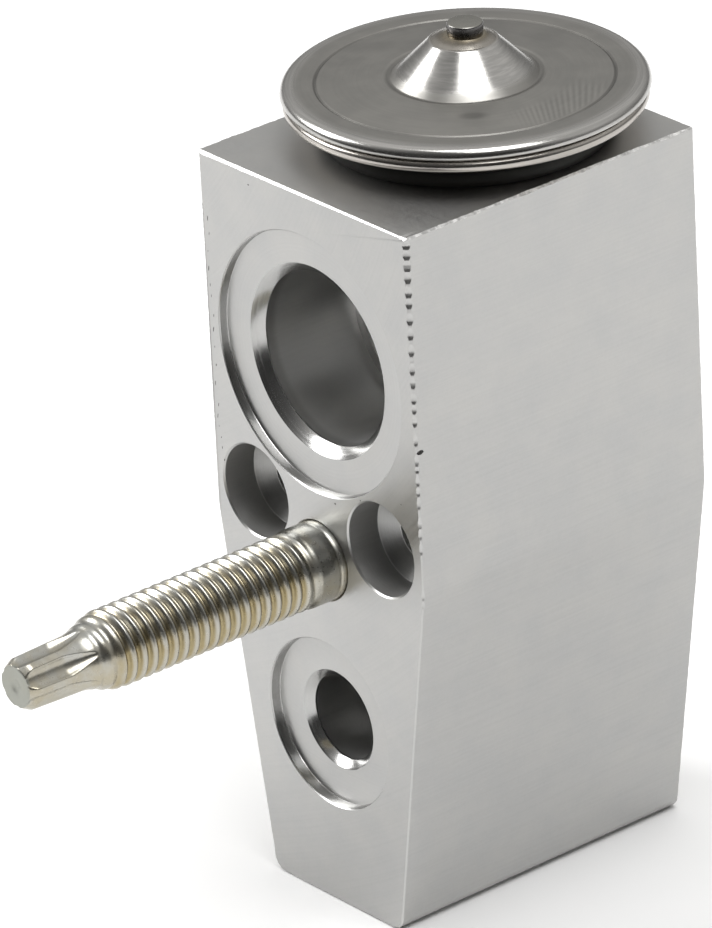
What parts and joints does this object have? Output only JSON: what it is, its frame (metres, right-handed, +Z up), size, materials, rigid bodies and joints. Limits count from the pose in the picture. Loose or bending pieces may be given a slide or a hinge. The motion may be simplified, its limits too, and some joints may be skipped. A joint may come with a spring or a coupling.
{
  "type": "block expansion valve",
  "caption": "Aluminium block refrigerant expansion valve with a round charged head, through suction passage, liquid ports, screw holes and a long threaded stud.",
  "frame": {"origin": "midway between the two mounting holes, on the rear face that seats on the evaporator", "axes": "+X across the block, +Y out of the rear face, +Z up to the head; the stud points along -Y"},
  "size_m": [0.0352, 0.0757, 0.0859],
  "materials": {
    "body_aluminium": "milled faces, extruded sides",
    "turned_aluminium": "turned",
    "head_stainless": "satin stainless sheet",
    "plug_steel": "satin, heat tint at the weld",
    "plated_steel": "bright zinc with a pale yellow passivation",
    "bright_steel": "turned, bright",
    "spring_steel": "bright drawn wire and strip",
    "seal_rubber": "moulded, matt"
  },
  "bodies": {
    "housing": {"valve_body": "body_aluminium", "lower_cover": "head_stainless", "upper_cover": "head_stainless", "diaphragm": "head_stainless", "filling_plug": "plug_steel", "head_seal": "seal_rubber", "rod_seal": "seal_rubber", "seal_retainer": "spring_steel", "valve_spring": "spring_steel", "stud": "plated_steel"},
    "stem": {"diaphragm_support": "turned_aluminium", "sensing_rod": "turned_aluminium", "push_rod": "bright_steel", "valve_ball": "bright_steel", "ball_holder": "bright_steel", "damping_spring": "spring_steel"},
    "seal_ring": {"screw_seal": "seal_rubber"},
    "adjuster": {"adjusting_screw": "bright_steel"}
  },
  "joints": [
    {"name": "valve_lift", "type": "slide", "parent": "housing", "child": "stem", "axis": [0, 0, -1], "range_m": [0, 0.0007], "stiffness_N_per_m": 4000, "springref_m": -0.004, "deforming": ["valve_spring"]},
    {"name": "screw_turn", "type": "hinge", "parent": "seal_ring", "child": "adjuster", "pos_m": [0, -0.0152, -0.0349], "axis": [0, 0, 1], "range_deg": [-270, 360]},
    {"name": "screw_advance", "type": "slide", "parent": "housing", "child": "seal_ring", "axis": [0, 0, 1], "range_m": [-0.00076, 0.00101], "deforming": ["valve_spring"]}
  ],
  "couplings": [
    {"joint": "screw_advance", "follows": "screw_turn", "m_per_rad": 0.00015915}
  ]
}
